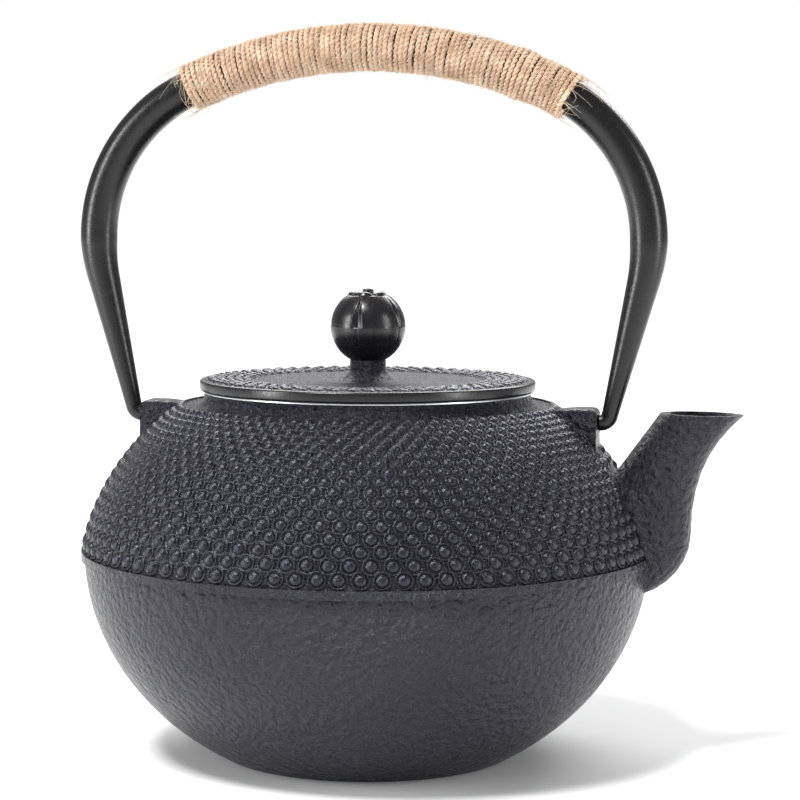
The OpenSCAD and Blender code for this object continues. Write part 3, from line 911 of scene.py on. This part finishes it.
def softbox(name, place, aim, size, watts):
    """A rectangular light aimed at a point."""
    light = bpy.data.lights.new(name, "AREA")
    light.shape = "RECTANGLE"
    light.size, light.size_y = size
    light.energy = watts
    made = bpy.data.objects.new(name, light)
    made.location = place
    made.rotation_euler = (Vector(aim) - Vector(place)).to_track_quat("-Z", "Y").to_euler()
    bpy.context.scene.collection.objects.link(made)


def make_studio():
    """A pale floor, a soft sun from above, soft strips at the sides and a panel behind. The
    camera sees the room as plain white, and the room lights the pot less than that."""
    room_light = 0.34
    sun_strength = 2.9
    towards_sun = Vector((-0.28, -0.45, 1.0))
    strip_aim = (0, 0, 0.08)
    size = 4.0
    mesh = bpy.data.meshes.new("floor")
    mesh.from_pydata([(-size, -size, 0), (size, -size, 0), (size, size, 0), (-size, size, 0)],
                     [], [(0, 1, 2, 3)])
    floor = bpy.data.objects.new("floor", mesh)
    floor_paint, tree, shader, place = new_material(
        "pale_floor", {"Specular IOR Level": 0.0, "Roughness": 1.0})
    mottle = add(tree, "ShaderNodeTexNoise", {"Scale": 3.0}, {"Vector": place})
    tree.links.new(ramp(tree, mottle.outputs["Fac"], [(0.3, "#F7F7F7"), (0.7, "#FAFAFA")]),
                   shader.inputs["Base Color"])
    mesh.materials.append(floor_paint)
    bpy.context.scene.collection.objects.link(floor)
    world = bpy.data.worlds.new("studio")
    bpy.context.scene.world = world
    world.use_nodes = True
    tree = world.node_tree
    room = tree.nodes["Background"]
    room.inputs["Strength"].default_value = room_light
    sweep = add(tree, "ShaderNodeBackground", {"Color": (1, 1, 1, 1), "Strength": 1.0})
    room.inputs["Color"].default_value = (1.0, 1.0, 1.0, 1.0)
    seen = add(tree, "ShaderNodeLightPath").outputs["Is Camera Ray"]
    both = add(tree, "ShaderNodeMixShader",
               links={0: seen, 1: room.outputs[0], 2: sweep.outputs[0]})
    tree.links.new(both.outputs[0], tree.nodes["World Output"].inputs["Surface"])
    key = bpy.data.lights.new("overhead_silk", "SUN")
    key.energy = sun_strength
    key.angle = math.radians(13)
    silk = bpy.data.objects.new("overhead_silk", key)
    silk.rotation_euler = towards_sun.to_track_quat("Z", "Y").to_euler()
    bpy.context.scene.collection.objects.link(silk)
    softbox("left_strip", (-0.85, -0.55, 0.30), strip_aim, (0.22, 0.7), 7)
    softbox("right_strip", (0.95, -0.30, 0.30), strip_aim, (0.18, 0.7), 4)
    softbox("back_panel", (0.0, 1.0, 0.85), (0, 0, 0.1), (1.4, 0.5), 16)
    bpy.context.scene.view_settings.view_transform = "Standard"


def make_camera():
    """A long lens between the knob and the grip in height, tipped down a little, and moved
    round from square on towards the spout."""
    yaw = math.radians(10.5)
    down = math.radians(4.9)
    tilt = math.radians(0.27)
    distance = 724.25 * MM
    aside = 9.36 * MM
    height = 164.9 * MM
    right = Vector((math.cos(yaw), math.sin(yaw), 0))
    ahead = Vector((-math.sin(yaw), math.cos(yaw), 0))
    lens = bpy.data.cameras.new("camera")
    lens.lens = 112.5
    lens.sensor_width = 36
    lens.clip_start = 0.05
    camera = bpy.data.objects.new("camera", lens)
    camera.location = right * aside - ahead * distance + Vector((0, 0, height))
    turn = Euler((math.pi / 2 - down, 0, yaw)).to_quaternion()
    camera.rotation_mode = "QUATERNION"
    camera.rotation_quaternion = turn @ Quaternion((0, 0, 1), tilt)
    bpy.context.scene.collection.objects.link(camera)
    bpy.context.scene.camera = camera


make_studio()
make_camera()
